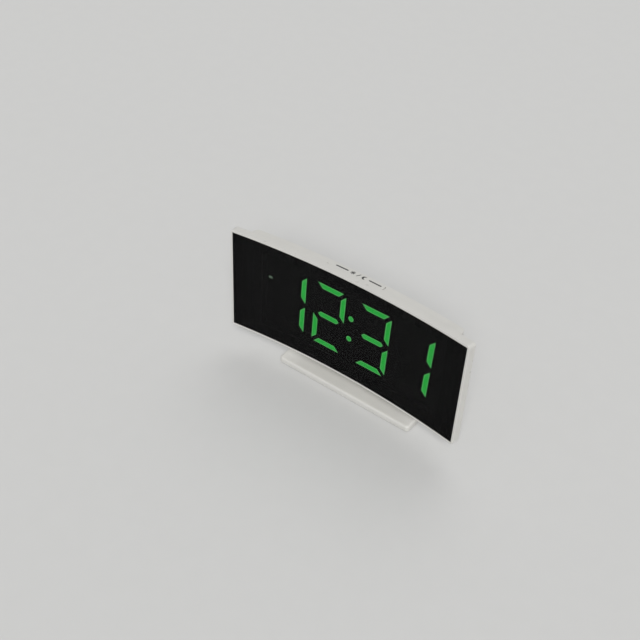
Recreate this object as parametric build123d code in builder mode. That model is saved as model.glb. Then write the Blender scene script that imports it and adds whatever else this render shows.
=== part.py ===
from build123d import *
import math
import os

os.makedirs("parts", exist_ok=True)

# Desk clock with a leaning, concave mirror panel on a flat foot.
# X runs along the panel to the viewer's right, the front faces -Y and Z is up from the table.

# Panel and its frame
panel_width = 186.0  # measured along the curve
panel_height = 75.5
panel_radius = 628.0  # front face, centred in front of the clock
panel_lift = 22.2  # lower edge of the panel above the table
lean = 7.3  # the panel's top leans back
lens_thickness = 2.0
lens_corner = 1.2
lens_gap = 0.15
tape_thickness = 0.3
tape_inset = 0.5
rim_width = 1.6
frame_depth = 6.0
frame_proud = 0.2
frame_corner = 2.2
frame_back_round = 0.5
frame_front_round = 0.5

# Digits, on the panel's plane
shown_time = "1231"
digit_width = 25.9
digit_pitch = 32.8
digit_border_low = 12.85  # from the panel's edges to the digits
digit_border_high = 12.65
window_border = 5.0  # from the digits up and down to the window's edges
display_shift = 2.7  # the four digits stand right of the middle
display_margin = 2.7  # from the last digit sideways to the window's edge
bar_width = 4.4
bar_corner_gap = 1.75
bar_middle_gap = 1.15
slant = 1.8
colon_gap = 3.3
colon_dot = 4.6
colon_rise = 8.2
day_mark_length = 3.6
day_mark_width = 1.8
day_mark_gap = 3.7
day_mark_rise = 9.2

# Display block and board
mask_gap = 0.2
segment_thickness = 1.2
reflector_margin = 0.6
board_depth = 4.6
board_thickness = 1.6
board_margin = 0.4
board_corner = 1.0
board_end_gap = 0.4
ear_inset = 9.6
ear_width = 8.0
ear_edge = 1.8
board_boss = 3.8
board_boss_offset = 1.7
led_size = 1.6
led_height = 0.6
parts_room = 3.5  # between the board and the battery box

# Rear shell
shell_wall = 1.6
shell_inset = 1.1
shell_end_round = 4.0
shell_back_round = 1.2
bulge_side_room = 22.0
bulge_top_room = 3.0
bulge_corner = 5.0
bulge_round = 3.0

# Fasteners
screw_shank = 2.6
screw_head = 4.8
screw_head_height = 1.6
screw_slot_width = 0.7
screw_slot_depth = 0.7
screw_slot_margin = 0.7
screw_clearance = 0.3
thread_gap = 0.1
boss_wall = 1.8
boss_height = 2.1
boss_side_gap = 2.0
shell_screw_inset = 10.4
shell_screw_length = 6.0
shell_screw_grip = 1.5
shell_screw_edge = 7.2
board_screw_shank = 2.0
board_screw_head = 3.6
board_screw_head_height = 1.3
board_screw_length = 5.5
foot_screw_place = 22.0
foot_screw_length = 8.5
foot_screw_grip = 3.0

# Rear buttons and their switches
button_names = ("set", "mode", "up", "down")
button_pitch = 20.0
button_size = 5.6
button_gap = 0.3
button_proud = 1.0
button_flange = 0.9
button_flange_height = 0.8
button_round = 0.4
button_travel = 0.6
stem_size = 3.2
stem_length = 0.2  # on the outermost buttons
switch_size = 6.0
switch_height = 1.8
plunger_size = 2.8
plunger_gap = 0.2
plunger_reach = 0.65
touch_gap = 0.05
stop_gap = 0.15

# Snooze key on top
key_depth = 4.2
key_half = 21.9
key_gap = 0.3
key_proud = 0.6
key_corner = 1.6
key_edge_round = 0.3
key_flange = 2.2
key_flange_height = 1.0
key_travel = 0.8
key_stem_width = 5.0
key_stem_depth = 3.0
key_switch_drop = 1.5
key_switch_height = 4.5
key_switch_depth = 4.2
key_plunger_reach = 1.2

# Batteries, their compartment and cover
cell_count = 3
cell_size = 10.5
cell_length = 43.5
cell_nub = 1.0
cell_nub_size = 3.8
cell_spacing = 0.9
cell_gap = 0.25
cell_edge_round = 0.5
contact_thickness = 0.4
contact_width = 8.0
contact_spring = 4.0
box_lift = 9.4
box_wall = 1.5
cover_gap = 0.3
cover_step = 1.5
cover_side_inset = 0.5
cover_seat_gap = 0.1
cover_corner = 1.5
cover_tab_width = 6.0
cover_tab_place = 14.0
cover_tab_thickness = 1.2
cover_tab_reach = 1.8
cover_tab_gap = 0.4
cover_tab_root = 2.2
tab_room = 0.4
grip_count = 4
grip_width = 16.0
grip_pitch = 1.8
grip_depth = 0.5
grip_lift = 3.0

# Power inlet and sounder
side_part_level = 16.0
inlet_size = 9.0
inlet_length = 11.0
inlet_bore = 5.7
inlet_bore_depth = 9.0
inlet_mouth_gap = 0.9
inlet_pin = 2.0
inlet_pin_inset = 0.8
pocket_fit = 0.1
sounder_size = 14.0
sounder_height = 4.0
sounder_port = 2.2
sounder_port_depth = 1.2
sound_hole = 1.4
sound_hole_ring = 3.2
sound_hole_count = 6

# Small parts on the back of the board
chip_size = 10.0
chip_height = 1.4
chip_level = 34.0
crystal_size = 2.0
crystal_length = 6.0
crystal_shift = 12.0
resistor_count = 6
resistor_pitch = 3.4
resistor_width = 1.0
resistor_length = 2.0
resistor_height = 0.6
resistor_drop = 10.0
lead_size = 0.8
lead_gap = 0.2
lead_spread = 1.5

# Foot
foot_length = 113.0
foot_depth = 45.0
foot_front = 1.0  # in front of the panel's lower edge
foot_thickness = 4.5
foot_corner = 2.5
foot_top_round = 1.6
foot_low_round = 0.4
neck_width = 66.0
neck_thickness = 9.0
neck_inset = 0.3
neck_corner = 4.0
neck_joint_round = 2.0
pad_edge = 7.0
pad_corner = 4.0
pad_thickness = 1.2
pad_proud = 0.6

# Frame and window, worked out from the sizes above
overrun = 5.0
lens_half = panel_width / 2
pocket_half = lens_half + lens_gap
frame_half = pocket_half + rim_width
frame_low = -(lens_gap + rim_width)
frame_high = panel_height + lens_gap + rim_width
digit_height = panel_height - digit_border_low - digit_border_high
digit_level = digit_border_low + digit_height / 2
slant_rate = math.tan(math.radians(slant))
first_digit = -(3 * digit_pitch + colon_gap) / 2
digit_places = [first_digit + n * digit_pitch + (colon_gap if n > 1 else 0) for n in range(4)]
display_reach = digit_places[-1] + digit_width / 2 + slant_rate * digit_height / 2
window_half = display_shift + display_reach + display_margin
window_low = digit_border_low - window_border
window_high = panel_height - digit_border_high + window_border
mask_depth = lens_thickness + mask_gap
reflector_half = window_half - reflector_margin
reflector_low = window_low + reflector_margin
reflector_high = window_high - reflector_margin


def bowed(place, depth):
    """Depth, on a flat plane, of a curved layer at a distance from the middle."""
    return math.sqrt((panel_radius + depth) ** 2 - place**2) - panel_radius


def unbowed(place, depth):
    """Depth, at the middle, of the curved layer that has this depth on a flat plane at a place."""
    return math.sqrt((panel_radius + depth) ** 2 + place**2) - panel_radius


# Board, shell and battery box
board_half = window_half - board_margin
board_back = board_depth + board_thickness
ear_place = window_half - ear_inset
board_boss_levels = (window_low - board_boss_offset, window_high + board_boss_offset)
boss_size = screw_shank + thread_gap + 2 * boss_wall
head_hole = screw_head + 2 * screw_clearance
shank_hole = screw_shank + screw_clearance
pilot_hole = screw_shank + thread_gap
shell_screw_place = window_half + boss_side_gap + boss_size / 2
shell_half = shell_screw_place + shell_screw_edge
first_button = -(len(button_names) - 1) * button_pitch / 2
flange_size = button_size + 2 * button_flange
plunger_top = board_back + switch_height + plunger_reach
stack_depth = plunger_top + touch_gap + stem_length + button_flange_height + stop_gap
board_room = unbowed(board_half, board_back + board_end_gap)
button_room = unbowed(flange_size / 2 - first_button, stack_depth)
shell_depth = max(board_room, button_room) + shell_wall
shell_low = frame_low + shell_inset
shell_high = frame_high - shell_inset
shell_inner_top = shell_high - shell_wall
shell_screw_levels = (shell_low + shell_screw_inset, shell_high - shell_screw_inset)
boss_face = bowed(shell_screw_place, frame_depth) + boss_height
cell_pitch = cell_size + cell_spacing
box_floor = board_back + parts_room + box_wall
cell_depth = box_floor + cell_gap + cell_size / 2
bulge_inner = cell_depth + cell_size / 2 + cell_gap + cover_tab_gap
bulge_depth = bulge_inner + shell_wall
box_half = (cell_length + cell_nub + contact_thickness + contact_spring + cell_gap) / 2
box_low = shell_low + box_lift
cell_levels = [box_low + cell_gap + cell_size / 2 + n * cell_pitch for n in range(cell_count)]
cover_low = box_low - cell_gap
cover_high = cell_levels[-1] + cell_size / 2 + cover_step
cover_half = box_half + box_wall - cover_side_inset
box_high = cover_high + cover_tab_reach + tab_room
bulge_half = box_half + box_wall + bulge_side_room
bulge_top = box_high + bulge_top_room
side_part_place = (box_half + box_wall + bulge_half - shell_wall) / 2
inlet_place = (side_part_place, side_part_level)
sounder_place = (-side_part_place, side_part_level)

# The panel's lower middle point, placed so that the whole clock is centred over the origin
tilt = math.radians(lean)
end_angle = frame_half / panel_radius
end_forward = panel_radius - (panel_radius - frame_proud) * math.cos(end_angle)
front_reach = end_forward * math.cos(tilt) - frame_low * math.sin(tilt)
rear_reach = foot_depth - foot_front
panel_y = (front_reach - rear_reach) / 2

up = (0, math.sin(tilt), math.cos(tilt))
ahead = (0, -math.cos(tilt), math.sin(tilt))
corner_point = (0, panel_y, panel_lift)
plan = Plane(origin=corner_point, x_dir=(1, 0, 0), z_dir=up)  # looking down along the panel
face = Plane(origin=corner_point, x_dir=(1, 0, 0), z_dir=ahead)  # looking at the panel
up_axis = Axis(corner_point, up)
ahead_axis = Axis(corner_point, ahead)


def level(height):
    """Plane across the head at a height up the panel; its y runs backwards."""
    return plan.offset(height)


def behind(depth):
    """Plane along the panel at a depth behind its front; its y runs up the panel."""
    return face.offset(-depth)


def curved_band(near, far, half):
    """Plan outline of a curved layer between two depths behind the panel's front."""
    spread = math.degrees(half / panel_radius)
    centre = (0, -panel_radius)
    with BuildSketch() as band:
        with BuildLine():
            front_arc = CenterArc(centre, panel_radius + near, 90 - spread, 2 * spread)
            back_arc = CenterArc(centre, panel_radius + far, 90 - spread, 2 * spread)
            Line(front_arc @ 0, back_arc @ 0)
            Line(front_arc @ 1, back_arc @ 1)
        make_face()
    return band.sketch


def rounded_bar(near, far, half, corner):
    """Curved layer with rounded corners in plan."""
    with BuildSketch() as bar:
        add(curved_band(near, far, half))
        fillet(bar.vertices(), corner)
    return bar.sketch


def box_outline(half, low, high, corner=0.0):
    """Upright rectangle on the panel's plane, centred sideways."""
    with BuildSketch() as outline:
        with Locations((0, (low + high) / 2)):
            Rectangle(2 * half, high - low)
        if corner:
            fillet(outline.vertices(), corner)
    return outline.sketch


def discs(places, size):
    """Round outlines of one size at several places."""
    with BuildSketch() as outline:
        with Locations(*places):
            Circle(size / 2)
    return outline.sketch


def runs_back(edge):
    """True for an edge that runs from the front of the head to its back."""
    return abs(edge.tangent_at(0.5).dot(Vector(*up))) < 0.5


def runs_up(edge):
    """True for an edge that runs up the panel."""
    return abs(edge.tangent_at(0.5).dot(Vector(*up))) > 0.9


def mirrored(place, heights):
    """Places at both sides of the middle, at each of the heights."""
    return [(side * place, height) for side in (-1, 1) for height in heights]


def finish(piece, name):
    """Labels a finished piece and writes it."""
    piece.part.label = name
    export_step(piece.part, f"parts/{name}.step")


shell_screw_places = mirrored(shell_screw_place, shell_screw_levels)
board_screw_places = mirrored(ear_place, board_boss_levels)
through_frame = 2 * (frame_depth + overrun) + panel_radius * (1 - math.cos(end_angle))

# Front frame: a rim round the lens, a ledge behind it and screw bosses on its back
with BuildPart() as front_frame:
    with BuildSketch(level(frame_low)):
        add(curved_band(-frame_proud, frame_depth, frame_half))
    extrude(amount=frame_high - frame_low)
    fillet(front_frame.edges().filter_by(GeomType.LINE).filter_by(runs_back), frame_corner)
    broad = front_frame.faces().sort_by(SortBy.AREA)[-2:].sort_by(ahead_axis)
    fillet(broad[0].edges(), frame_back_round)
    broad = front_frame.faces().sort_by(SortBy.AREA)[-2:].sort_by(ahead_axis)
    fillet(broad[-1].edges(), frame_front_round)
    with BuildSketch(level(-lens_gap)):
        add(curved_band(-overrun, lens_thickness + tape_thickness, pocket_half))
    extrude(amount=panel_height + 2 * lens_gap, mode=Mode.SUBTRACT)
    with BuildSketch(behind(frame_depth + overrun)):
        add(box_outline(window_half, window_low, window_high))
    extrude(amount=through_frame, mode=Mode.SUBTRACT)
    with BuildSketch(behind(boss_face)):
        add(discs(shell_screw_places, boss_size))
    extrude(amount=boss_face - bowed(shell_screw_place + boss_size / 2, frame_depth - rim_width))
    with BuildSketch(behind(boss_face)):
        add(discs(shell_screw_places, pilot_hole))
    extrude(amount=shell_screw_length - shell_screw_grip + thread_gap, mode=Mode.SUBTRACT)
    with BuildSketch(behind(board_depth)):
        add(discs(board_screw_places, board_boss))
    extrude(amount=board_depth - bowed(ear_place + board_boss / 2, frame_depth - rim_width))
    with BuildSketch(behind(board_depth)):
        add(discs(board_screw_places, board_screw_shank + thread_gap))
    extrude(amount=board_screw_length - board_thickness + thread_gap, mode=Mode.SUBTRACT)
finish(front_frame, "front_frame")

# Mirror lens: the curved dark panel
with BuildPart() as mirror_lens:
    with BuildSketch(level(0)):
        add(curved_band(0, lens_thickness, lens_half))
    extrude(amount=panel_height)
    fillet(mirror_lens.edges().filter_by(GeomType.LINE).filter_by(runs_back), lens_corner)
finish(mirror_lens, "mirror_lens")

# Adhesive tape that holds the lens on the frame's ledge
with BuildPart() as lens_tape:
    with BuildSketch(level(tape_inset)):
        add(curved_band(lens_thickness, lens_thickness + tape_thickness, lens_half - tape_inset))
    extrude(amount=panel_height - 2 * tape_inset)
    with BuildSketch(behind(frame_depth + overrun)):
        add(box_outline(window_half, window_low, window_high))
    extrude(amount=through_frame, mode=Mode.SUBTRACT)
finish(lens_tape, "lens_tape")


def bar_corners(name):
    """Corners of one lit bar about the middle of its digit, before the slant."""
    side = digit_width / 2
    top = digit_height / 2
    half = bar_width / 2
    reach = side - bar_corner_gap
    shoulder = reach - bar_width
    tip = reach - half
    across_top = [(-reach, top), (reach, top), (shoulder, top - bar_width), (-shoulder, top - bar_width)]
    down_side = [
        (side, top - bar_corner_gap),
        (side, bar_middle_gap),
        (side - bar_width, bar_middle_gap + bar_width),
        (side - bar_width, top - bar_corner_gap - bar_width),
    ]
    across_middle = [
        (-tip, 0),
        (half - tip, half),
        (tip - half, half),
        (tip, 0),
        (tip - half, -half),
        (half - tip, -half),
    ]
    shapes = {
        "a": (across_top, 1, 1),
        "b": (down_side, 1, 1),
        "c": (down_side, 1, -1),
        "d": (across_top, 1, -1),
        "e": (down_side, -1, -1),
        "f": (down_side, -1, 1),
        "g": (across_middle, 1, 1),
    }
    corners, across, along = shapes[name]
    return [(x * across, y * along) for x, y in corners]


def slanted(x, y):
    """Point on the panel's plane, from its place about the display's middle."""
    return (x + display_shift + y * slant_rate, y + digit_level)


def bar_outline(digit, bar):
    """Corners of a bar on the panel's plane."""
    return [slanted(x + digit_places[digit], y) for x, y in bar_corners(bar)]


bars_shown = {
    "0": "abcdef",
    "1": "bc",
    "2": "abged",
    "3": "abgcd",
    "4": "fgbc",
    "5": "afgcd",
    "6": "afgedc",
    "7": "abc",
    "8": "abcdefg",
    "9": "abcdfg",
}
lit_bars = [(n, bar) for n in range(4) for bar in bars_shown[shown_time[n]]]
dark_bars = [(n, bar) for n in range(4) for bar in "abcdefg" if (n, bar) not in lit_bars]
colon_places = [slanted(0, side * colon_rise) for side in (-1, 1)]
day_mark_reach = digit_width / 2 + day_mark_gap + day_mark_length / 2
day_mark_place = slanted(first_digit - day_mark_reach, day_mark_rise)


def bars_sketch(bars, with_marks):
    """Windows of the named bars, with the colon and the day mark if asked."""
    with BuildSketch() as windows:
        for digit, bar in bars:
            Polygon(*bar_outline(digit, bar), align=None)
        if with_marks:
            with Locations(*colon_places):
                Circle(colon_dot / 2)
            with Locations(day_mark_place):
                SlotOverall(day_mark_length, day_mark_width)
    return windows.sketch


# Reflector: flat black block with a light well for every bar
with BuildPart() as segment_reflector:
    with BuildSketch(behind(board_depth)):
        add(box_outline(reflector_half, reflector_low, reflector_high))
        add(bars_sketch(lit_bars + dark_bars, True), mode=Mode.SUBTRACT)
    extrude(amount=board_depth - mask_depth)
finish(segment_reflector, "segment_reflector")


def make_segments(bars, with_marks, name):
    """Translucent windows that close the front of the light wells."""
    with BuildPart() as segments:
        with BuildSketch(behind(mask_depth + segment_thickness)):
            add(bars_sketch(bars, with_marks))
        extrude(amount=segment_thickness)
    finish(segments, name)


make_segments(lit_bars, True, "lit_segments")
make_segments(dark_bars, False, "dark_segments")


def middle_of(points):
    """Mean of an outline's corners."""
    return tuple(sum(values) / len(points) for values in zip(*points))


led_places = [middle_of(bar_outline(digit, bar)) for digit, bar in lit_bars + dark_bars]

# Light-emitting chips, one in each well
with BuildPart() as led_chips:
    with BuildSketch(behind(board_depth)):
        with Locations(*led_places, *colon_places, day_mark_place):
            Rectangle(led_size, led_size)
    extrude(amount=led_height)
finish(led_chips, "led_chips")

# Circuit board: flat, with four ears that reach the frame's bosses
with BuildPart() as display_board:
    with BuildSketch(behind(board_back)):
        add(box_outline(board_half, window_low + board_margin, window_high - board_margin, board_corner))
        with Locations(*mirrored(ear_place, [sum(board_boss_levels) / 2])):
            Rectangle(ear_width, board_boss_levels[1] - board_boss_levels[0] + 2 * ear_edge)
        add(discs(board_screw_places, board_screw_shank + screw_clearance), mode=Mode.SUBTRACT)
    extrude(amount=board_thickness)
finish(display_board, "display_board")


def make_screws(name, seat, places, shank, length, head, head_height):
    """Cross-slotted screws whose heads seat on a plane and whose shanks run along its normal."""
    with BuildPart() as screws:
        with BuildSketch(seat):
            add(discs(places, head))
        extrude(amount=-head_height)
        with BuildSketch(seat):
            add(discs(places, shank))
        extrude(amount=length)
        with BuildSketch(seat.offset(-head_height)):
            with Locations(*places):
                Rectangle(head - 2 * screw_slot_margin, screw_slot_width)
                Rectangle(screw_slot_width, head - 2 * screw_slot_margin)
        extrude(amount=screw_slot_depth, mode=Mode.SUBTRACT)
    finish(screws, name)


make_screws(
    "board_screws",
    behind(board_back),
    board_screw_places,
    board_screw_shank,
    board_screw_length,
    board_screw_head,
    board_screw_head_height,
)
make_screws(
    "shell_screws",
    behind(boss_face + shell_screw_grip),
    shell_screw_places,
    screw_shank,
    shell_screw_length,
    screw_head,
    screw_head_height,
)
neck_depth = bulge_depth - neck_inset - neck_thickness / 2
foot_screw_places = mirrored(foot_screw_place, [neck_depth])
make_screws(
    "foot_screws",
    level(shell_low - foot_screw_grip),
    foot_screw_places,
    screw_shank,
    foot_screw_length,
    screw_head,
    screw_head_height,
)

key_flange_top = shell_inner_top - stop_gap
key_flange_low = key_flange_top - key_flange_height
button_level = (bulge_top + key_flange_low) / 2
button_places = [first_button + n * button_pitch for n in range(len(button_names))]
button_spots = [(place, button_level) for place in button_places]
key_near = frame_depth + key_gap
key_far = key_near + key_depth
key_middle = (key_near + key_far) / 2
slot_bottom = shell_inner_top - overrun
lead_place = box_half - contact_thickness - lead_size / 2
lead_spots = [(lead_place, cell_levels[0]), (-lead_place, cell_levels[-1])]

# Rear shell: a curved tray with a battery bulge, screw wells and openings for the keys
with BuildPart() as rear_shell:
    with BuildSketch(level(shell_low)):
        add(curved_band(frame_depth, shell_depth, shell_half))
    extrude(amount=shell_high - shell_low)
    upright = rear_shell.edges().filter_by(GeomType.LINE).filter_by(runs_up)
    fillet(upright.sort_by(ahead_axis)[:2], shell_end_round)
    back = rear_shell.faces().filter_by(GeomType.CYLINDER).sort_by(SortBy.AREA)[-1]
    fillet(back.edges().filter_by(GeomType.CIRCLE), shell_back_round)
    with BuildSketch(level(shell_low)):
        with Locations((0, (frame_depth + bulge_depth) / 2)):
            Rectangle(2 * bulge_half, bulge_depth - frame_depth)
    extrude(amount=bulge_top - shell_low)
    bulge_back = rear_shell.faces().filter_by(GeomType.PLANE).sort_by(ahead_axis)[0]
    fillet(bulge_back.edges().filter_by(runs_up), bulge_corner)
    bulge_back = rear_shell.faces().filter_by(GeomType.PLANE).sort_by(ahead_axis)[0]
    fillet(bulge_back.edges().sort_by(up_axis)[-1], bulge_round)
    # Hollow of the tray and of the bulge
    with BuildSketch(level(shell_low + shell_wall)):
        add(curved_band(frame_depth - overrun, shell_depth - shell_wall, shell_half - shell_wall))
    extrude(amount=shell_inner_top - shell_low - shell_wall, mode=Mode.SUBTRACT)
    with BuildSketch(level(shell_low + shell_wall)):
        with Locations((0, bulge_inner / 2)):
            RectangleRounded(2 * (bulge_half - shell_wall), bulge_inner, bulge_corner - shell_wall)
    extrude(amount=bulge_top - shell_low - 2 * shell_wall, mode=Mode.SUBTRACT)
    # Battery box, standing in the bulge
    with BuildSketch(behind(bulge_inner)):
        add(box_outline(box_half + box_wall, box_low - box_wall, box_high + box_wall))
    extrude(amount=bulge_inner - box_floor + box_wall)
    # Bosses for the shell's and the foot's screws
    with BuildSketch(behind(boss_face)):
        add(discs(shell_screw_places, boss_size))
    extrude(amount=boss_face - bowed(shell_screw_place + boss_size / 2, shell_depth - shell_wall / 2))
    with BuildSketch(level(shell_low)):
        add(discs(foot_screw_places, boss_size))
    extrude(amount=box_low - box_wall / 2 - shell_low)
    # Pockets for the power inlet and the sounder
    with BuildSketch(behind(bulge_inner)):
        with Locations(inlet_place):
            Rectangle(inlet_size + 2 * box_wall, inlet_size + 2 * box_wall)
        add(discs([sounder_place], sounder_size + 2 * box_wall))
    extrude(amount=sounder_height)
    with BuildSketch(behind(bulge_inner)):
        with Locations(inlet_place):
            Rectangle(inlet_size + 2 * pocket_fit, inlet_size + 2 * pocket_fit)
        add(discs([sounder_place], sounder_size + 2 * pocket_fit))
    extrude(amount=sounder_height, mode=Mode.SUBTRACT)
    # Battery room, with holes in its floor for the leads
    with BuildSketch(behind(bulge_inner)):
        add(box_outline(box_half, box_low, box_high))
    extrude(amount=bulge_inner - box_floor, mode=Mode.SUBTRACT)
    with BuildSketch(behind(box_floor)):
        add(discs(lead_spots, lead_size + 2 * lead_gap))
    extrude(amount=box_wall, mode=Mode.SUBTRACT)
    # Cover opening, inlet mouth and sound holes through the bulge's back
    with BuildSketch(behind(bulge_depth)):
        add(box_outline(cover_half, cover_low, cover_high, cover_corner))
        add(discs([inlet_place], inlet_bore + 2 * inlet_mouth_gap))
        with Locations(sounder_place):
            Circle(sound_hole / 2)
            with PolarLocations(sound_hole_ring, sound_hole_count):
                Circle(sound_hole / 2)
    extrude(amount=shell_wall, mode=Mode.SUBTRACT)
    # Button holes and screw wells from the back
    with BuildSketch(behind(bulge_depth)):
        add(discs(button_spots, button_size + 2 * button_gap))
    extrude(amount=bulge_depth - frame_depth, mode=Mode.SUBTRACT)
    with BuildSketch(behind(bulge_depth)):
        add(discs(shell_screw_places, head_hole))
    extrude(amount=bulge_depth - boss_face - shell_screw_grip, mode=Mode.SUBTRACT)
    with BuildSketch(behind(bulge_depth)):
        add(discs(shell_screw_places, shank_hole))
    extrude(amount=bulge_depth, mode=Mode.SUBTRACT)
    with BuildSketch(level(shell_low)):
        add(discs(foot_screw_places, pilot_hole))
    extrude(amount=foot_screw_length - foot_screw_grip + thread_gap, mode=Mode.SUBTRACT)
    # Notch for the snooze key, open towards the frame
    with BuildSketch(level(slot_bottom)):
        add(rounded_bar(key_near - overrun, key_far + key_gap, key_half + key_gap, key_corner + key_gap))
    extrude(amount=shell_high - slot_bottom + overrun, mode=Mode.SUBTRACT)
finish(rear_shell, "rear_shell")

switch_top = board_back + switch_height
plunger_foot = switch_top - button_travel
well_floor = plunger_foot - button_travel - plunger_gap

# Four push switches on the back of the board
with BuildPart() as button_switches:
    with BuildSketch(behind(board_back)):
        with Locations(*button_spots):
            Rectangle(switch_size, switch_size)
    extrude(amount=-switch_height)
    with BuildSketch(behind(switch_top)):
        add(discs(button_spots, plunger_size + 2 * plunger_gap))
    extrude(amount=switch_top - well_floor, mode=Mode.SUBTRACT)
finish(button_switches, "button_switches")


def make_button(name, spot):
    """Rear push button with its inner flange and stem, and the switch plunger that it presses."""
    place = abs(spot[0])
    flange_back = bowed(place + flange_size / 2, shell_depth - shell_wall) - stop_gap
    flange_front = flange_back - button_flange_height
    outer_end = bowed(place - button_size / 2, shell_depth) + button_proud
    with BuildPart() as button:
        with BuildSketch(behind(flange_back)):
            add(discs([spot], flange_size))
        extrude(amount=button_flange_height)
        with BuildSketch(behind(flange_back)):
            add(discs([spot], button_size))
        extrude(amount=flange_back - outer_end)
        fillet(button.faces().sort_by(ahead_axis)[0].edges(), button_round)
        with BuildSketch(behind(flange_front)):
            add(discs([spot], stem_size))
        extrude(amount=flange_front - plunger_top - touch_gap)
    finish(button, f"{name}_button")
    with BuildPart() as plunger:
        with BuildSketch(behind(plunger_foot)):
            add(discs([spot], plunger_size))
        extrude(amount=plunger_foot - plunger_top)
    finish(plunger, f"{name}_plunger")


for button_name, button_spot in zip(button_names, button_spots):
    make_button(button_name, button_spot)

key_switch_top = window_high - key_switch_drop
key_plunger_top = key_switch_top + key_plunger_reach
key_plunger_foot = key_switch_top - key_travel
key_well_floor = key_plunger_foot - key_travel - plunger_gap

# Snooze switch, lying on the back of the board with its plunger upwards
with BuildPart() as snooze_switch:
    with BuildSketch(level(key_switch_top - key_switch_height)):
        with Locations((0, board_back + key_switch_depth / 2)):
            Rectangle(switch_size, key_switch_depth)
    extrude(amount=key_switch_height)
    with BuildSketch(level(key_well_floor)):
        add(discs([(0, key_middle)], plunger_size + 2 * plunger_gap))
    extrude(amount=key_switch_top - key_well_floor, mode=Mode.SUBTRACT)
finish(snooze_switch, "snooze_switch")

with BuildPart() as snooze_plunger:
    with BuildSketch(level(key_plunger_foot)):
        add(discs([(0, key_middle)], plunger_size))
    extrude(amount=key_plunger_top - key_plunger_foot)
finish(snooze_plunger, "snooze_plunger")

# Snooze key: a long bar in the top, with end flanges inside and a stem down to its switch
with BuildPart() as snooze_key:
    with BuildSketch(level(key_flange_top)):
        add(rounded_bar(key_near, key_far, key_half, key_corner))
    extrude(amount=shell_high + key_proud - key_flange_top)
    fillet(snooze_key.faces().sort_by(up_axis)[-1].edges(), key_edge_round)
    with BuildSketch(level(key_flange_low)):
        add(curved_band(key_near, key_far, key_half + key_flange))
    extrude(amount=key_flange_height)
    with BuildSketch(level(key_plunger_top + touch_gap)):
        with Locations((0, key_middle)):
            Rectangle(key_stem_width, key_stem_depth)
    extrude(amount=key_flange_top - key_plunger_top - touch_gap)
finish(snooze_key, "snooze_key")

cell_turns = [1 if n % 2 == 0 else -1 for n in range(cell_count)]
plus_end = box_half - contact_thickness - cell_gap / 2
minus_end = plus_end - cell_nub - cell_length


def make_cell(name, height, turn):
    """One cell lying along X, its plus end to the right or, turned, to the left."""
    shoulder = plan.from_local_coords((turn * (plus_end - cell_nub), cell_depth, height))
    can_end = Plane(origin=shoulder, z_dir=(-turn, 0, 0))
    with BuildPart() as cell:
        with BuildSketch(can_end):
            Circle(cell_size / 2)
        extrude(amount=cell_length)
        fillet(cell.edges().filter_by(GeomType.CIRCLE), cell_edge_round)
        with BuildSketch(can_end):
            Circle(cell_nub_size / 2)
        extrude(amount=-cell_nub)
    finish(cell, name)


for number in range(cell_count):
    make_cell(f"battery_cell_{number + 1}", cell_levels[number], cell_turns[number])

# Plus contacts: flat plates at the cells' plus ends, each reaching down to the minus contact before it
with BuildPart() as plus_contacts:
    for number in range(cell_count):
        bridge = cell_pitch - contact_width if number else 0
        with BuildSketch(level(cell_levels[number] - contact_width / 2 - bridge)):
            with Locations((cell_turns[number] * (box_half - contact_thickness / 2), cell_depth)):
                Rectangle(contact_thickness, contact_width)
        extrude(amount=contact_width + bridge)
finish(plus_contacts, "plus_contacts")


def leaf_outline(turn):
    """Plan of a minus contact: a plate on the wall with a bowed leaf towards the cell."""
    plate = -turn * (box_half - contact_thickness)
    bow = turn * (minus_end - cell_gap)
    inner_bow = turn * (minus_end - cell_gap - contact_thickness)
    near = cell_depth - contact_width / 2
    far = cell_depth + contact_width / 2
    inner_near = near + contact_thickness
    inner_far = far - contact_thickness
    with BuildSketch() as leaf:
        with BuildLine():
            ThreePointArc((plate, near), (bow, cell_depth), (plate, far))
            Line((plate, far), (plate, inner_far))
            ThreePointArc((plate, inner_far), (inner_bow, cell_depth), (plate, inner_near))
            Line((plate, inner_near), (plate, near))
        make_face()
        with Locations((-turn * (box_half - contact_thickness / 2), cell_depth)):
            Rectangle(contact_thickness, contact_width)
    return leaf.sketch


# Minus contacts, at the cells' flat ends
with BuildPart() as minus_contacts:
    for height, turn in zip(cell_levels, cell_turns):
        with BuildSketch(level(height - contact_width / 2)):
            add(leaf_outline(turn))
        extrude(amount=contact_width)
finish(minus_contacts, "minus_contacts")

tab_top = cover_high + cover_tab_reach
tab_low = cover_high - cover_gap - cover_tab_root
tab_front = bulge_inner - cover_tab_gap - cover_tab_thickness
cover_inner = bulge_inner + cover_seat_gap
grip_middle = cover_low + grip_lift + (grip_count - 1) * grip_pitch / 2
cover_outline = box_outline(
    cover_half - cover_gap,
    cover_low + cover_gap,
    cover_high - cover_gap,
    cover_corner - cover_gap,
)

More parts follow.
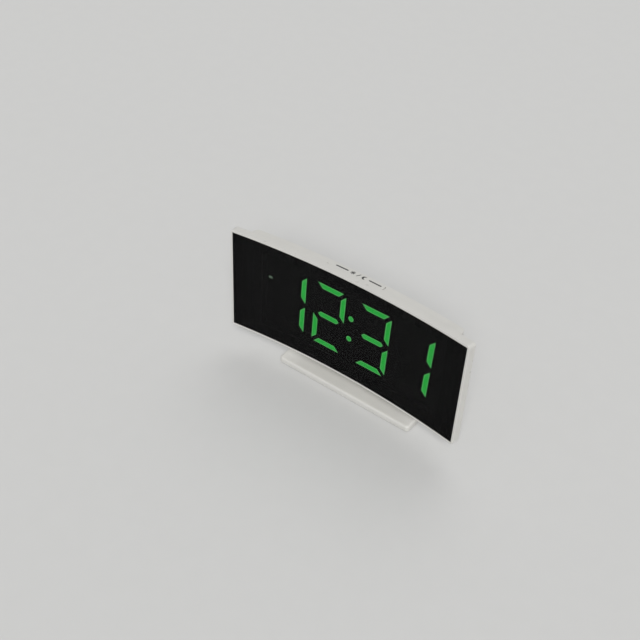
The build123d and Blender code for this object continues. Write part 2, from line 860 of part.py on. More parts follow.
# Battery cover: a flush plate with two hooked tabs along its top edge and finger grooves below
with BuildPart() as battery_cover:
    with BuildSketch(behind(bulge_depth)):
        add(cover_outline)
    extrude(amount=bulge_depth - cover_inner)
    with BuildSketch(behind(cover_inner)):
        with Locations(*mirrored(cover_tab_place, [tab_low + cover_tab_root / 2])):
            Rectangle(cover_tab_width, cover_tab_root)
    extrude(amount=cover_inner - tab_front)
    with BuildSketch(behind(tab_front + cover_tab_thickness)):
        with Locations(*mirrored(cover_tab_place, [(tab_top + tab_low) / 2])):
            Rectangle(cover_tab_width, tab_top - tab_low)
    extrude(amount=cover_tab_thickness)
    with BuildSketch(behind(bulge_depth)):
        with Locations((0, grip_middle)):
            with GridLocations(0, grip_pitch, 1, grip_count):
                SlotOverall(grip_width, grip_pitch / 2)
    extrude(amount=grip_depth, mode=Mode.SUBTRACT)
finish(battery_cover, "battery_cover")

pocket_back = bulge_inner - pocket_fit

# Power inlet: a round socket with a centre pin
with BuildPart() as power_inlet:
    with BuildSketch(behind(pocket_back)):
        with Locations(inlet_place):
            Rectangle(inlet_size, inlet_size)
    extrude(amount=inlet_length)
    with BuildSketch(behind(pocket_back)):
        add(discs([inlet_place], inlet_bore))
        add(discs([inlet_place], inlet_pin), mode=Mode.SUBTRACT)
    extrude(amount=inlet_bore_depth, mode=Mode.SUBTRACT)
    with BuildSketch(behind(pocket_back)):
        add(discs([inlet_place], inlet_pin))
    extrude(amount=inlet_pin_inset, mode=Mode.SUBTRACT)
finish(power_inlet, "power_inlet")

# Sounder: a flat can with a small port, facing the holes in the wall
with BuildPart() as sounder:
    with BuildSketch(behind(pocket_back)):
        add(discs([sounder_place], sounder_size))
    extrude(amount=sounder_height)
    with BuildSketch(behind(pocket_back)):
        add(discs([sounder_place], sounder_port))
    extrude(amount=sounder_port_depth, mode=Mode.SUBTRACT)
finish(sounder, "sounder")

inlet_front = pocket_back - inlet_length
inlet_lead_spots = [(inlet_place[0] + side * lead_spread, inlet_place[1]) for side in (-1, 1)]
contact_front = cell_depth - contact_width / 2

# Leads from the inlet and from the two end contacts to the board
with BuildPart() as lead_wires:
    with BuildSketch(behind(inlet_front)):
        add(discs(inlet_lead_spots, lead_size))
    extrude(amount=inlet_front - board_back)
    with BuildSketch(behind(contact_front)):
        add(discs(lead_spots, lead_size))
    extrude(amount=contact_front - board_back)
finish(lead_wires, "lead_wires")

# Control chip, crystal and resistors on the back of the board
with BuildPart() as control_chip:
    with BuildSketch(behind(board_back)):
        with Locations((0, chip_level)):
            Rectangle(chip_size, chip_size)
    extrude(amount=-chip_height)
finish(control_chip, "control_chip")

with BuildPart() as quartz_crystal:
    with BuildSketch(level(chip_level - crystal_length / 2)):
        add(discs([(crystal_shift, board_back + crystal_size / 2)], crystal_size))
    extrude(amount=crystal_length)
finish(quartz_crystal, "quartz_crystal")

with BuildPart() as resistors:
    with BuildSketch(behind(board_back)):
        with Locations((0, chip_level - resistor_drop)):
            with GridLocations(resistor_pitch, 0, resistor_count, 1):
                Rectangle(resistor_width, resistor_length)
    extrude(amount=-resistor_height)
finish(resistors, "resistors")

foot_middle = panel_y - foot_front + foot_depth / 2
foot_place = (0, foot_middle)
pad_length = foot_length - 2 * pad_edge
pad_depth = foot_depth - 2 * pad_edge

# Foot: a flat plate with a leaning neck that carries the head
with BuildPart() as base_foot:
    with BuildSketch(Plane.XY.offset(pad_proud)):
        with Locations(foot_place):
            RectangleRounded(foot_length, foot_depth, foot_corner)
    extrude(amount=foot_thickness)
    fillet(base_foot.faces().sort_by(Axis.Z)[-1].edges(), foot_top_round)
    fillet(base_foot.faces().sort_by(Axis.Z)[0].edges(), foot_low_round)
    with BuildSketch(level(shell_low)):
        with Locations((0, neck_depth)):
            RectangleRounded(neck_width, neck_thickness, neck_corner)
    extrude(amount=-panel_lift)
    split(bisect_by=Plane.XY.offset(pad_proud), keep=Keep.TOP)
    plate_top = base_foot.faces().filter_by(Axis.Z).filter_by(lambda plate: plate.inner_wires())
    fillet(plate_top[0].inner_wires()[0].edges(), neck_joint_round)
    with BuildSketch(level(shell_low)):
        add(discs(foot_screw_places, shank_hole))
    extrude(amount=-foot_screw_grip, mode=Mode.SUBTRACT)
    with BuildSketch(level(shell_low - foot_screw_grip)):
        add(discs(foot_screw_places, head_hole))
    extrude(amount=-panel_lift, mode=Mode.SUBTRACT)
    with BuildSketch(Plane.XY.offset(pad_proud)):
        with Locations(foot_place):
            RectangleRounded(pad_length, pad_depth, pad_corner)
    extrude(amount=pad_thickness - pad_proud, mode=Mode.SUBTRACT)
finish(base_foot, "base_foot")

# Rubber pad under the foot
with BuildPart() as base_pad:
    with BuildSketch(Plane.XY):
        with Locations(foot_place):
            RectangleRounded(pad_length, pad_depth, pad_corner)
    extrude(amount=pad_thickness)
finish(base_pad, "base_pad")
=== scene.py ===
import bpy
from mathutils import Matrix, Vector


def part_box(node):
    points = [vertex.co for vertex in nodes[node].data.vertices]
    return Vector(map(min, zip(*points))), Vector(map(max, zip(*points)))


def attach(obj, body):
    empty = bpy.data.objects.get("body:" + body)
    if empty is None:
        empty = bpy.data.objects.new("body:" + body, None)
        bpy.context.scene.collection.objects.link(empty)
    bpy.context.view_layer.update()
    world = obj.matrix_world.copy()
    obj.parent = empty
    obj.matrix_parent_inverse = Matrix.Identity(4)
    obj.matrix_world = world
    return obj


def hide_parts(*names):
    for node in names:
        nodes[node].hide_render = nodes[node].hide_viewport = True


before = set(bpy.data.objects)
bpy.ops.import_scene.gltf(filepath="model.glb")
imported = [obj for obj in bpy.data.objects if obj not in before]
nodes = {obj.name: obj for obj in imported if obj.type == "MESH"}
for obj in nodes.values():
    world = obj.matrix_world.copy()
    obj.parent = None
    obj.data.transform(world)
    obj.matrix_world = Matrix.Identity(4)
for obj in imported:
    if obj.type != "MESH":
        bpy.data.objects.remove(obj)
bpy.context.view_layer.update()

import math

import bmesh
import bpy
from mathutils import Matrix, Vector

scene = bpy.context.scene
MM = 0.001

# Panel: where its lower middle point stands, its lean, its curve and its reach along the curve
panel_place = Vector((0.0, -18.2526, 22.2)) * MM
panel_lean = math.radians(7.3)
panel_radius = 628.0 * MM
panel_half = 93.0 * MM
panel_height = 75.5 * MM
pocket_edge = 0.2 * MM  # the frame's pocket is this much wider than the panel all round
pocket_floor = 2.35 * MM
window_half = 70.05 * MM
window_low = 7.8 * MM
window_high = 67.9 * MM
panel_side = Vector((1.0, 0.0, 0.0))
panel_back = Vector((0.0, math.cos(panel_lean), -math.sin(panel_lean)))
panel_up = Vector((0.0, math.sin(panel_lean), math.cos(panel_lean)))
facing_limit = 0.5  # least cosine at which a face counts as turned towards a direction

# Housing behind the panel
key_top = 76.75 * MM
key_middle = 8.4 * MM
shell_back = 12.34 * MM
shell_wall = 1.6 * MM
boss_place = 75.2 * MM
boss_rise = 28.0 * MM  # above and below the panel's middle level
boss_inner = 2.9 * MM  # between the screw well and the outside of its boss
boss_outer = 3.4 * MM
bulge_back = 24.2 * MM
button_level = 61.2 * MM
button_places = {"set": -30.0 * MM, "mode": -10.0 * MM, "up": 10.0 * MM, "down": 30.0 * MM}
inlet_place = (36.275 * MM, 16.0 * MM)
inlet_pin = 1.3 * MM

# Detail that all mouldings and metals share
evenly = (1.0, 1.0, 1.0)
noise_low = 0.3  # the noise mostly keeps between these two
noise_high = 0.7
coarse_detail = 2.0
fine_detail = 3.0
mould_mottle = 14.0 * MM
mould_sheen = 5.0 * MM
mould_swing = 0.05
mould_relief = 0.6
metal_mottle = 3.0 * MM
metal_spread = 0.06
metal_duller = 0.10
metal_brighter = 0.08
metal_depth = 0.01 * MM
metal_relief = 0.4


def panel_point(along, depth, height):
    """Point on a curved layer behind the panel's front, at a length along it and a height."""
    angle = along / (panel_radius + depth)
    reach = panel_side * math.sin(angle) + panel_back * math.cos(angle)
    return panel_place + reach * (panel_radius + depth) - panel_back * panel_radius + panel_up * height


def flat_point(along, depth, height):
    """Point on a flat layer behind the panel's front."""
    return panel_place + panel_side * along + panel_back * depth + panel_up * height


def tinted(colour, share):
    """Colour made lighter or darker by a share."""
    return tuple(channel * share for channel in colour)


class Shader:
    """One material with its principled shader and helpers for its detail."""

    # Sockets of a colour mix node
    mix_factor = 0
    mix_first = 6
    mix_second = 7
    mix_result = 2

    def __init__(self, name, colour, roughness, **sockets):
        self.material = bpy.data.materials.new(name)
        self.material.use_nodes = True
        self.tree = self.material.node_tree
        self.shader = self.tree.nodes["Principled BSDF"]
        self.set(self.shader, "Base Color", (*colour, 1.0))
        self.set(self.shader, "Roughness", roughness)
        for socket, value in sockets.items():
            self.set(self.shader, socket.replace("_", " "), value)
        self.place = self.tree.nodes.new("ShaderNodeTexCoord").outputs["Object"]
        self.tone = colour

    def set(self, node, socket, value):
        node.inputs[socket].default_value = value

    def feed(self, node, socket, value):
        """Gives an input a link or a plain value."""
        if isinstance(value, bpy.types.NodeSocket):
            self.tree.links.new(value, node.inputs[socket])
        else:
            self.set(node, socket, value)

    def math(self, operation, first, second=0.0):
        node = self.tree.nodes.new("ShaderNodeMath")
        node.operation = operation
        self.feed(node, 0, first)
        self.feed(node, 1, second)
        return node.outputs["Value"]

    def dot(self, vector, direction):
        """Dot product of a vector with a fixed direction."""
        node = self.tree.nodes.new("ShaderNodeVectorMath")
        node.operation = "DOT_PRODUCT"
        self.feed(node, 0, vector)
        self.feed(node, 1, direction)
        return node.outputs["Value"]

    def reach(self, direction, origin):
        """Distance from a point along a direction."""
        return self.math("SUBTRACT", self.dot(self.place, direction), origin.dot(direction))

    def span(self, first, second):
        """Length of two lengths at right angles."""
        squares = self.math("ADD", self.math("POWER", first, 2.0), self.math("POWER", second, 2.0))
        return self.math("SQRT", squares)

    def panel_grid(self):
        """Length along the panel's curve, depth behind its front and height up it."""
        side = self.reach(panel_side, panel_place)
        back = self.math("ADD", self.reach(panel_back, panel_place), panel_radius)
        along = self.math("MULTIPLY", self.math("ARCTAN2", side, back), panel_radius)
        depth = self.math("SUBTRACT", self.span(side, back), panel_radius)
        return along, depth, self.reach(panel_up, panel_place)

    def facing(self, direction):
        """One where the surface is turned towards a direction, else nought."""
        normal = self.tree.nodes.new("ShaderNodeNewGeometry").outputs["Normal"]
        return self.math("GREATER_THAN", self.dot(normal, direction), facing_limit)

    def below(self, value, limit):
        """One where a value is less than a limit, else nought."""
        return self.math("LESS_THAN", value, limit)

    def within(self, value, low, high):
        """One where a value is between two limits, else nought."""
        return self.both(self.math("GREATER_THAN", value, low), self.below(value, high))

    def both(self, first, second):
        """One where both masks are one, else nought."""
        return self.math("MULTIPLY", first, second)

    def either(self, first, second):
        """One where at least one mask is one, else nought."""
        return self.math("MAXIMUM", first, second)

    def noise(self, size, detail, stretch=evenly):
        """Noise whose features have about this size in metres."""
        scaled = self.tree.nodes.new("ShaderNodeMapping")
        self.set(scaled, "Scale", stretch)
        self.feed(scaled, "Vector", self.place)
        noise = self.tree.nodes.new("ShaderNodeTexNoise")
        self.set(noise, "Scale", 1.0 / size)
        self.set(noise, "Detail", detail)
        self.feed(noise, "Vector", scaled.outputs["Vector"])
        return noise.outputs["Fac"]

    def spread(self, noise, low, high):
        """Noise taken to a range of its own."""
        ranged = self.tree.nodes.new("ShaderNodeMapRange")
        self.set(ranged, "From Min", noise_low)
        self.set(ranged, "From Max", noise_high)
        self.set(ranged, "To Min", low)
        self.set(ranged, "To Max", high)
        self.feed(ranged, "Value", noise)
        return ranged.outputs["Result"]

    def blend(self, factor, first, second):
        """Colour that goes from first to second."""
        mix = self.tree.nodes.new("ShaderNodeMix")
        mix.data_type = "RGBA"
        self.feed(mix, self.mix_factor, factor)
        for socket, colour in ((self.mix_first, first), (self.mix_second, second)):
            self.feed(mix, socket, (*colour, 1.0) if isinstance(colour, tuple) else colour)
        return mix.outputs[self.mix_result]

    def mottled(self, size, colour, spread):
        """Colour with a soft variation."""
        tone = self.spread(self.noise(size, coarse_detail), 0.0, 1.0)
        return self.blend(tone, tinted(colour, 1.0 - spread), tinted(colour, 1.0 + spread))

    def paint(self, colour, socket="Base Color"):
        self.feed(self.shader, socket, colour)

    def polish(self, size, low, high, stretch=evenly):
        """Variation of the roughness."""
        self.paint(self.spread(self.noise(size, fine_detail, stretch), low, high), "Roughness")

    def grain(self, size, depth, strength, stretch=evenly):
        """Fine surface relief."""
        bump = self.tree.nodes.new("ShaderNodeBump")
        self.set(bump, "Strength", strength)
        self.set(bump, "Distance", depth)
        self.feed(bump, "Height", self.noise(size, fine_detail, stretch))
        self.paint(bump.outputs["Normal"], "Normal")


def moulded(name, colour, roughness, grain, relief, spread=0.02, **sockets):
    """Moulded plastic with a fine eroded grain."""
    shader = Shader(name, colour, roughness, **sockets)
    shader.tone = shader.mottled(mould_mottle, colour, spread)
    shader.paint(shader.tone)
    shader.polish(mould_sheen, roughness - mould_swing, roughness + mould_swing)
    shader.grain(grain, relief, mould_relief)
    return shader


def metal(name, colour, roughness, grain, stretch=evenly):
    """Metal with drawn or turned marks."""
    shader = Shader(name, colour, roughness, Metallic=1.0)
    shader.paint(shader.mottled(metal_mottle, colour, metal_spread))
    shader.polish(grain, roughness - metal_brighter, roughness + metal_duller, stretch)
    shader.grain(grain, metal_depth, metal_relief, stretch)
    return shader


def dress(shader, *names):
    """Gives the named pieces a material."""
    for name in names:
        for slot in nodes[name].material_slots:
            slot.material = shader.material


# White mouldings
white = (0.575, 0.568, 0.538)
# Painted light: the foot gets a lighter copy of the white, to brighten its top where the panel shades it
foot_painted_light_share = 1.06
shell_look = {"roughness": 0.48, "grain": 0.4 * MM, "relief": 0.02 * MM}
shell_white = moulded("shell_white", white, **shell_look)
key_white = moulded("key_white", white, roughness=0.40, grain=0.4 * MM, relief=0.010 * MM)
foot_white_painted_light = moulded(
    "foot_white_painted_light", tinted(white, foot_painted_light_share), roughness=0.42, grain=0.4 * MM, relief=0.012 * MM
)
dress(shell_white, "battery_cover")
dress(key_white, "snooze_key", "set_button", "mode_button", "up_button", "down_button")
dress(foot_white_painted_light, "base_foot")

# White shell with painted shade: the inner faces that show through the lens, its back wall, floor and screw
# bosses, are painted black as if in shade
# Black of the dark inner parts, also used as painted shade inside the shell and the frame
black_and_painted_shade = (0.004, 0.004, 0.004)
shell = moulded("white_with_painted_shade", white, **shell_look)
_, depth, height = shell.panel_grid()
inner_floor = shell.both(shell.facing(panel_up), shell.within(depth, 0.0, shell_back))
inner_floor = shell.both(inner_floor, shell.below(height, window_low))
off_side = shell.math("ABSOLUTE", shell.reach(panel_side, panel_place))
off_level = shell.math("ABSOLUTE", shell.math("SUBTRACT", height, panel_height / 2))
off_boss = shell.span(
    shell.math("SUBTRACT", off_side, boss_place), shell.math("SUBTRACT", off_level, boss_rise)
)
boss_side = shell.within(off_boss, boss_inner, boss_outer)
boss_side = shell.both(boss_side, shell.within(depth, 0.0, shell_back - shell_wall / 2))
# Painted shade: these inner faces get black in place of the shell's white
painted_shade_inside = shell.either(shell.facing(-panel_back), inner_floor)
painted_shade_inside = shell.either(painted_shade_inside, boss_side)
shell.paint(shell.blend(painted_shade_inside, shell.tone, black_and_painted_shade))
dress(shell, "rear_shell")

# White frame, with painted shade: black inside its pocket and window, behind the lens
rim = moulded("frame_white", white, roughness=0.32, grain=0.5 * MM, relief=0.004 * MM)
along, depth, height = rim.panel_grid()
pocket_span = rim.within(along, -panel_half - pocket_edge, panel_half + pocket_edge)
pocket_rise = rim.within(height, -pocket_edge, panel_height + pocket_edge)
pocket = rim.both(rim.both(pocket_span, pocket_rise), rim.below(depth, pocket_floor))
window_span = rim.within(along, -window_half, window_half)
window_rise = rim.within(height, window_low, window_high)
frame_painted_shade = rim.either(pocket, rim.both(window_span, window_rise))
# Painted shade: the faces inside the pocket and window get black in place of white
rim.paint(rim.blend(frame_painted_shade, rim.tone, black_and_painted_shade))
dress(rim, "front_frame")

# Dark tinted lens with a faint haze
lens_tint = 0.35
lens_colour = (lens_tint, lens_tint, lens_tint)
lens_mottle = 22.0 * MM
lens_spread = 0.03
lens = Shader("dark_lens", lens_colour, roughness=0.06, IOR=1.03, Transmission_Weight=0.984)
lens.paint(lens.mottled(lens_mottle, lens_colour, lens_spread))
dress(lens, "mirror_lens")

# Black inner mouldings, tape and rubber
dull = {"Specular_IOR_Level": 0.0}
part_black = (0.012, 0.012, 0.012)
rubber_black = (0.030, 0.030, 0.030)
plunger_black = (0.05, 0.05, 0.05)
unlit = moulded("unlit_bar", black_and_painted_shade, roughness=0.8, grain=0.6 * MM, relief=0.002 * MM, spread=0.1, **dull)
block = moulded(
    "reflector_black", black_and_painted_shade, roughness=0.8, grain=0.5 * MM, relief=0.002 * MM, spread=0.1, **dull
)
tape = moulded("foam_tape", black_and_painted_shade, roughness=0.9, grain=0.25 * MM, relief=0.01 * MM, spread=0.1, **dull)
black = moulded("black_moulding", part_black, roughness=0.55, grain=0.4 * MM, relief=0.015 * MM, spread=0.2)
rubber = moulded("pad_rubber", rubber_black, roughness=0.85, grain=0.6 * MM, relief=0.06 * MM, spread=0.2)
plunger = moulded(
    "plunger_plastic", plunger_black, roughness=0.45, grain=0.3 * MM, relief=0.01 * MM, spread=0.1
)
dress(unlit, "dark_segments")
dress(block, "segment_reflector")
dress(tape, "lens_tape")
dress(black, "button_switches", "snooze_switch", "sounder", "control_chip", "resistors")
dress(rubber, "base_pad")
dress(plunger, "set_plunger", "mode_plunger", "up_plunger", "down_plunger", "snooze_plunger")

# Lit bars behind the lens: a dark edge and a pale border round a bright core, and a dim mark at the far left
core_colour = (0.011, 0.315, 0.034)
border_colour = (0.080, 0.350, 0.100)
mark_colour = (0.093, 0.138, 0.097)
unlit_share = 0.3  # of a bar's colour while its light is off
glow_mottle = 1.6 * MM
glow_spread = 0.05
edge_width = 0.25 * MM
border_width = 0.55 * MM
mark_edge = -62.5 * MM  # the mark lies to the left of this
weld_distance = 0.001 * MM


def glowing(name, colour):
    """Translucent plastic lit from behind, bright enough to show its colour through the lens."""
    shader = Shader(name, tinted(colour, unlit_share), roughness=0.5, Emission_Strength=1.0 / lens_tint)
    shader.paint(shader.mottled(glow_mottle, colour, glow_spread), "Emission Color")
    return shader


def border(mesh, faces, width, material):
    """Sets a border of one material inside the outline of flat faces."""
    ring = bmesh.ops.inset_region(mesh, faces=faces, thickness=width, use_even_offset=True)
    for face in ring["faces"]:
        face.material_index = material


at_edge, at_border, at_core, at_mark = range(4)
lit_shaders = {
    at_edge: unlit,
    at_border: glowing("lit_border", border_colour),
    at_core: glowing("lit_core", core_colour),
    at_mark: glowing("lit_mark", mark_colour),
}
lit_mesh = bmesh.new()
lit_mesh.from_mesh(nodes["lit_segments"].data)
bmesh.ops.remove_doubles(lit_mesh, verts=lit_mesh.verts, dist=weld_distance)
for face in lit_mesh.faces:
    face.material_index = at_edge
fronts = [face for face in lit_mesh.faces if face.normal.dot(panel_back) < -facing_limit]
bars = []
for face in fronts:
    if face.calc_center_median().x < mark_edge:
        face.material_index = at_mark
    else:
        face.material_index = at_core
        bars.append(face)
border(lit_mesh, bars, edge_width, at_edge)
border(lit_mesh, bars, border_width, at_border)
lit_data = bpy.data.meshes.new("lit_bars")
lit_mesh.to_mesh(lit_data)
lit_mesh.free()
for shader in lit_shaders.values():
    lit_data.materials.append(shader.material)
lit_bars = bpy.data.objects.new("lit_bars", lit_data)
scene.collection.objects.link(lit_bars)
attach(lit_bars, "case")
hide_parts("lit_segments")

# Power inlet with a bright centre pin
pin_steel = (0.60, 0.59, 0.57)
inlet = moulded("inlet_black", part_black, roughness=0.45, grain=0.4 * MM, relief=0.01 * MM, spread=0.2)
inlet_middle = flat_point(inlet_place[0], bulge_back, inlet_place[1])
off_axis = inlet.span(inlet.reach(panel_side, inlet_middle), inlet.reach(panel_up, inlet_middle))
at_pin = inlet.below(off_axis, inlet_pin)
inlet.paint(inlet.blend(at_pin, inlet.tone, pin_steel))
inlet.paint(at_pin, "Metallic")
dress(inlet, "power_inlet")

# Board and its light-emitting chips
board_green = (0.012, 0.10, 0.045)
resin_yellow = (0.62, 0.60, 0.40)
board = moulded("board_lacquer", board_green, roughness=0.35, grain=0.8 * MM, relief=0.02 * MM, spread=0.15)
resin = moulded("chip_resin", resin_yellow, roughness=0.25, grain=0.3 * MM, relief=0.005 * MM, spread=0.08)
dress(board, "display_board")
dress(resin, "led_chips")

# Metal parts
steel = metal("plated_steel", (0.55, 0.55, 0.54), roughness=0.30, grain=0.5 * MM)
can = metal("crystal_can", (0.68, 0.68, 0.67), roughness=0.25, grain=0.4 * MM, stretch=(1.0, 1.0, 0.2))
tinned = metal("tinned_copper", (0.62, 0.52, 0.38), roughness=0.35, grain=0.4 * MM, stretch=(1.0, 0.2, 1.0))
dress(steel, "board_screws", "shell_screws", "foot_screws", "plus_contacts", "minus_contacts")
dress(can, "quartz_crystal")
dress(tinned, "lead_wires")

# Cells: a blue sleeve with a pale band at the plus end and bare steel ends
cell_bare = 0.6 * MM
cell_nub = 1.0 * MM
band_length = 9.0 * MM
sleeve_blue = (0.030, 0.085, 0.20)
band_silver = (0.42, 0.42, 0.41)
end_steel = (0.58, 0.57, 0.55)
sleeve_look = {"roughness": 0.30, "grain": 0.8 * MM, "relief": 0.004 * MM, "spread": 0.06}


def plus_side(name):
    """Sign of the end, along X, at which a cell has its nub."""
    low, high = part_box(name)
    middle = (low[2] + high[2]) / 2
    ends = [v.co for v in nodes[name].data.vertices if v.co.x > high[0] - cell_nub / 2]
    widest = max(abs(co.z - middle) for co in ends)
    return 1.0 if widest < (high[2] - low[2]) / 4 else -1.0


for cell_name in ("battery_cell_1", "battery_cell_2", "battery_cell_3"):
    sign = plus_side(cell_name)
    low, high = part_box(cell_name)
    end = Vector(high if sign > 0 else low)
    length = high[0] - low[0]
    sleeve = moulded(f"{cell_name}_sleeve", sleeve_blue, **sleeve_look)
    from_plus = sleeve.reach(panel_side * -sign, end)
    covered = sleeve.within(from_plus, cell_nub + cell_bare, length - cell_bare)
    banded = sleeve.below(from_plus, cell_nub + band_length)
    wrap = sleeve.blend(banded, sleeve.tone, band_silver)
    sleeve.paint(sleeve.blend(covered, end_steel, wrap))
    sleeve.paint(sleeve.math("SUBTRACT", 1.0, covered), "Metallic")
    dress(sleeve, cell_name)


# Printed marks: closed prisms that lie on a face of the clock
mark_sink = 0.10 * MM
ink_proud = 0.03 * MM
arc_steps = 24
dome_steps = 18
end_steps = 8
ink_look = {"roughness": 0.6, "grain": 0.3 * MM, "relief": 0.003 * MM, "spread": 0.1}
key_ink = moulded("key_ink", (0.020, 0.020, 0.020), **ink_look)
back_ink = moulded("back_ink", (0.14, 0.14, 0.14), **ink_look)


def arc(middle, radius, start, end, steps=arc_steps):
    """Points of an arc, with its angles in degrees."""
    angles = [math.radians(start + (end - start) * n / steps) for n in range(steps + 1)]
    return [(middle[0] + radius * math.cos(a), middle[1] + radius * math.sin(a)) for a in angles]


def disc(middle, radius):
    return arc(middle, radius, 0.0, 360.0)[:-1]


def stroke(first, second, width):
    """Straight stroke with round ends."""
    turn = math.degrees(math.atan2(second[1] - first[1], second[0] - first[0]))
    near = arc(first, width / 2, turn + 90.0, turn + 270.0, end_steps)
    return near + arc(second, width / 2, turn - 90.0, turn + 90.0, end_steps)


def prism(mesh, outline, hole, lower, upper):
    """Closed solid between two faces over an outline, with a hole of as many points or none."""
    rings = []
    for ring in (outline, hole):
        for to_face in (lower, upper):
            rings.append([mesh.verts.new(to_face(x, y)) for x, y in ring])
    low_ring, high_ring, low_hole, high_hole = rings
    count = len(outline)
    for n in range(count):
        m = (n + 1) % count
        mesh.faces.new((low_ring[n], low_ring[m], high_ring[m], high_ring[n]))
        if hole:
            mesh.faces.new((low_hole[m], low_hole[n], high_hole[n], high_hole[m]))
            mesh.faces.new((high_ring[n], high_ring[m], high_hole[m], high_hole[n]))
            mesh.faces.new((low_ring[m], low_ring[n], low_hole[n], low_hole[m]))
    if not hole:
        mesh.faces.new(high_ring)
        mesh.faces.new(reversed(low_ring))


def mark(name, shapes, lower, upper, shader, body):
    """One piece made of flat shapes on a face; a shape is an outline or an outline and its hole."""
    mesh = bmesh.new()
    for shape in shapes:
        outline, hole = shape if isinstance(shape, tuple) else (shape, [])
        prism(mesh, outline, hole, lower, upper)
    bmesh.ops.recalc_face_normals(mesh, faces=mesh.faces)
    data = bpy.data.meshes.new(name)
    mesh.to_mesh(data)
    mesh.free()
    data.materials.append(shader.material)
    piece = bpy.data.objects.new(name, data)
    scene.collection.objects.link(piece)
    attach(piece, body)


# Snooze key: a sun, a slash and a moon between two bars
line_width = 0.6 * MM
sun_place = (-2.6 * MM, 0.0)
sun_size = 0.85 * MM
sun_rays = 8
ray_inner = 1.2 * MM
ray_outer = 1.45 * MM
moon_place = (6.4 * MM, 0.0)
moon_size = 1.75 * MM
moon_horn = 50.0
moon_hollow = 0.55
bar_ends = ((-15.6 * MM, -6.8 * MM), (10.6 * MM, 19.4 * MM))
bar_width = 1.1 * MM
slash_ends = ((1.2 * MM, -1.4 * MM), (2.6 * MM, 1.4 * MM))


def ray(middle, turn):
    """Short stroke that points away from a middle, at an angle in degrees."""
    inner, outer = [arc(middle, radius, turn, turn, 1)[0] for radius in (ray_inner, ray_outer)]
    return stroke(inner, outer, line_width)


def crescent(middle, radius):
    """Moon outline, open to the right."""
    outer = arc(middle, radius, moon_horn, 360.0 - moon_horn)
    hollow = (middle[0] + radius * moon_hollow, middle[1])
    tip = math.degrees(math.atan2(outer[-1][1] - hollow[1], outer[-1][0] - hollow[0]))
    reach = math.hypot(outer[-1][0] - hollow[0], outer[-1][1] - hollow[1])
    return outer + arc(hollow, reach, tip % 360.0, 360.0 - tip % 360.0, dome_steps)[1:-1]


def on_key(rise):
    """Face on the key's top, seen from the front."""
    return lambda x, y: panel_point(x, key_middle + y, key_top + rise)


key_shapes = [disc(sun_place, sun_size), crescent(moon_place, moon_size), stroke(*slash_ends, line_width)]
key_shapes += [ray(sun_place, n * 360.0 / sun_rays) for n in range(sun_rays)]
key_shapes += [stroke((start, 0.0), (end, 0.0), bar_width) for start, end in bar_ends]
mark("snooze_marks", key_shapes, on_key(-mark_sink), on_key(ink_proud), key_ink, "snooze")

# Signs above the rear buttons: a clock, a bell and two pointers
sign_level = button_level + 6.6 * MM
sign_size = 1.9 * MM
ring_width = 0.45 * MM
minute_hand = 0.55  # this and the next six are shares of the sign's size
hour_hand = 0.5
bell_dome = 0.6
bell_rise = 0.25
bell_drop = 0.5
bell_brim = 0.95
pointer_base = 0.7
pointer_tip = 0.9
clapper_drop = 0.72 * MM
clapper_size = 0.48 * MM


def clock_sign(middle):
    yield disc(middle, sign_size), disc(middle, sign_size - ring_width)
    yield stroke(middle, (middle[0], middle[1] + sign_size * minute_hand), line_width)
    hour_start = (middle[0] + line_width, middle[1])
    yield stroke(hour_start, (middle[0] + sign_size * hour_hand, middle[1]), line_width)


def bell_sign(middle):
    dome_middle = (middle[0], middle[1] + sign_size * bell_rise)
    skirt = middle[1] - sign_size * bell_drop
    brim = [(middle[0] - sign_size * bell_brim, skirt), (middle[0] + sign_size * bell_brim, skirt)]
    yield brim + arc(dome_middle, sign_size * bell_dome, 0.0, 180.0, dome_steps)
    yield disc((middle[0], skirt - clapper_drop), clapper_size)


def pointer_sign(middle, rise):
    """Triangle that points up or down."""
    base = middle[1] - rise * sign_size * pointer_base
    tip = (middle[0], middle[1] + rise * sign_size * pointer_tip)
    yield [(middle[0] - sign_size, base), (middle[0] + sign_size, base), tip]


def on_back(place, point, depth):
    """Face on the back at a place along the clock, seen from behind."""
    return lambda x, y: point(place - x, depth, y)


signs = {
    "set": clock_sign((0.0, sign_level)),
    "mode": bell_sign((0.0, sign_level)),
    "up": pointer_sign((0.0, sign_level), 1.0),
    "down": pointer_sign((0.0, sign_level), -1.0),
}
for sign_name, shapes in signs.items():
    place = button_places[sign_name]
    lower = on_back(place, panel_point, shell_back - mark_sink)
    upper = on_back(place, panel_point, shell_back + ink_proud)
    mark(f"{sign_name}_sign", list(shapes), lower, upper, back_ink, "case")

# Pointer on the battery cover, towards its grip
cover_sign_level = 24.0 * MM
cover_sign = list(pointer_sign((0.0, cover_sign_level), -1.0))
lower = on_back(0.0, flat_point, bulge_back - mark_sink)
upper = on_back(0.0, flat_point, bulge_back + ink_proud)
mark("cover_pointer", cover_sign, lower, upper, back_ink, "cover")

# Polarity sign over the power inlet: minus on the sleeve, plus on the pin
polarity_level = inlet_place[1] + 9.0 * MM
polarity_pitch = 4.6 * MM
polarity_size = 1.3 * MM
polarity_dot = 0.6 * MM
polarity_opening = 40.0
plus_reach = 0.55 * MM
thin_line = 0.36 * MM


def plus(middle, reach, width):
    """Outline of a plus, a quarter at a time."""
    half = width / 2
    turned = [(reach, -half), (reach, half), (half, half)]
    points = []
    for _ in range(4):
        points += [(middle[0] + x, middle[1] + y) for x, y in turned]
        turned = [(-y, x) for x, y in turned]
    return points


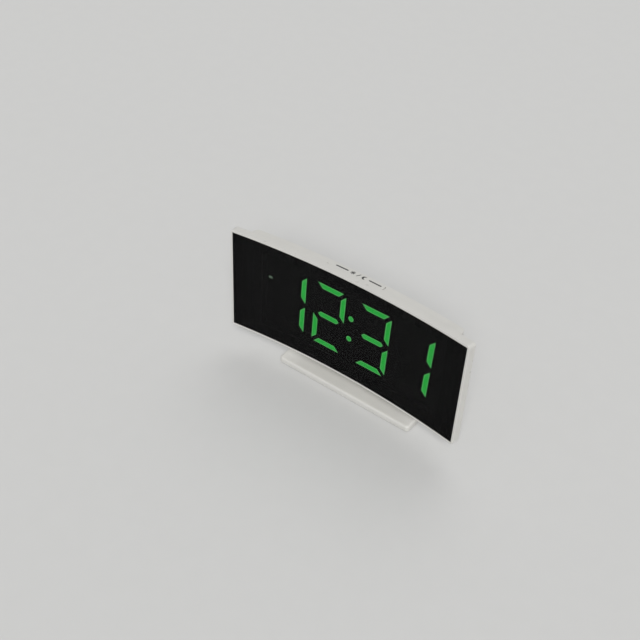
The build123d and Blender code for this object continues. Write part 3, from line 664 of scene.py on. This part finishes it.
def polarity_sign(level):
    outer = polarity_size
    inner = polarity_size - thin_line
    minus_middle = (-polarity_pitch, level)
    plus_middle = (polarity_pitch, level)
    for middle in (minus_middle, plus_middle):
        yield disc(middle, outer), disc(middle, inner)
    yield stroke((-polarity_pitch - plus_reach, level), (-polarity_pitch + plus_reach, level), thin_line)
    yield plus(plus_middle, plus_reach, thin_line)
    yield disc((0.0, level), polarity_dot)
    opening = (polarity_opening, 360.0 - polarity_opening)
    yield arc((0.0, level), outer, *opening) + arc((0.0, level), inner, *reversed(opening))
    clear = polarity_size + thin_line
    yield stroke((clear - polarity_pitch, level), (-clear, level), thin_line)
    yield stroke((2 * polarity_dot, level), (polarity_pitch - clear, level), thin_line)


lower = on_back(inlet_place[0], flat_point, bulge_back - mark_sink)
upper = on_back(inlet_place[0], flat_point, bulge_back + ink_proud)
mark("polarity_sign", list(polarity_sign(polarity_level)), lower, upper, back_ink, "case")

# Floor
floor_reach = 14.0
floor_pale = (0.60, 0.60, 0.591)
paper = moulded(
    "floor_paper", floor_pale, roughness=0.75, grain=0.8 * MM, relief=0.01 * MM, spread=0.005, **dull
)
corners = [(-1.0, -1.0), (1.0, -1.0), (1.0, 1.0), (-1.0, 1.0)]
floor_mesh = bpy.data.meshes.new("floor")
floor_mesh.from_pydata([(x * floor_reach, y * floor_reach, 0.0) for x, y in corners], [], [(0, 1, 2, 3)])
floor_mesh.materials.append(paper.material)
floor = bpy.data.objects.new("floor", floor_mesh)
scene.collection.objects.link(floor)

# Soft light from all round, paler where the camera, a reflection or the lens sees it
ambient = 0.36
backdrop = 0.62
world = bpy.data.worlds.new("studio")
world.use_nodes = True
sky = world.node_tree
seen = sky.nodes.new("ShaderNodeLightPath").outputs
looks = [seen["Is Camera Ray"], seen["Is Glossy Ray"], seen["Is Transmission Ray"]]
while len(looks) > 1:
    either = sky.nodes.new("ShaderNodeMath")
    either.operation = "MAXIMUM"
    sky.links.new(looks.pop(), either.inputs[0])
    sky.links.new(looks.pop(), either.inputs[1])
    looks.append(either.outputs["Value"])
strength = sky.nodes.new("ShaderNodeMapRange")
strength.inputs["To Min"].default_value = ambient
strength.inputs["To Max"].default_value = backdrop
sky.links.new(looks[0], strength.inputs["Value"])
sky.links.new(strength.outputs["Result"], sky.nodes["Background"].inputs["Strength"])
sky.nodes["Background"].inputs["Color"].default_value = (1.0, 1.0, 1.0, 1.0)
scene.world = world


def direction(azimuth, elevation):
    """Unit vector from the clock, with the azimuth turned from the front to the right."""
    flat = math.cos(math.radians(elevation))
    turn = math.radians(azimuth)
    return Vector((math.sin(turn) * flat, -math.cos(turn) * flat, math.sin(math.radians(elevation))))


def softbox(name, azimuth, elevation, width, share):
    """Wide distant lamp, its width in degrees, that adds this share of full light to a face turned to it."""
    lamp = bpy.data.lights.new(name, "SUN")
    lamp.angle = math.radians(width)
    lamp.energy = share * math.pi
    box = bpy.data.objects.new(name, lamp)
    away = direction(azimuth, elevation)
    box.location = away
    box.rotation_euler = away.to_track_quat("Z", "Y").to_euler()
    scene.collection.objects.link(box)


softbox("front_light", azimuth=37.0, elevation=45.0, width=24.0, share=0.74)
softbox("side_light", azimuth=80.0, elevation=10.0, width=60.0, share=0.06)
softbox("back_light", azimuth=190.0, elevation=56.0, width=40.0, share=0.14)

# Camera at the photograph's viewing angle
aim = panel_place + Vector((0.0, 4.607, 35.75)) * MM
view_azimuth = 38.86
view_elevation = 43.31
view_roll = math.radians(-1.44)
view_distance = 608.3 * MM
sensor_width = 36.0
focal_length = 52.12
frame_shift = (-0.0383, 0.0171)
nearest = 0.01
toward = direction(view_azimuth, view_elevation)
level_right = Vector((-toward.y, toward.x, 0.0)).normalized()
level_up = toward.cross(level_right)
right = level_right * math.cos(view_roll) + level_up * math.sin(view_roll)
above = level_up * math.cos(view_roll) - level_right * math.sin(view_roll)
view = bpy.data.cameras.new("camera")
view.sensor_width = sensor_width
view.lens = focal_length
view.shift_x, view.shift_y = frame_shift
view.clip_start = nearest
camera = bpy.data.objects.new("camera", view)
turned = Matrix((right, above, toward)).transposed().to_4x4()
camera.matrix_world = Matrix.Translation(aim + toward * view_distance) @ turned
scene.collection.objects.link(camera)
scene.camera = camera

scene.view_settings.view_transform = "Standard"
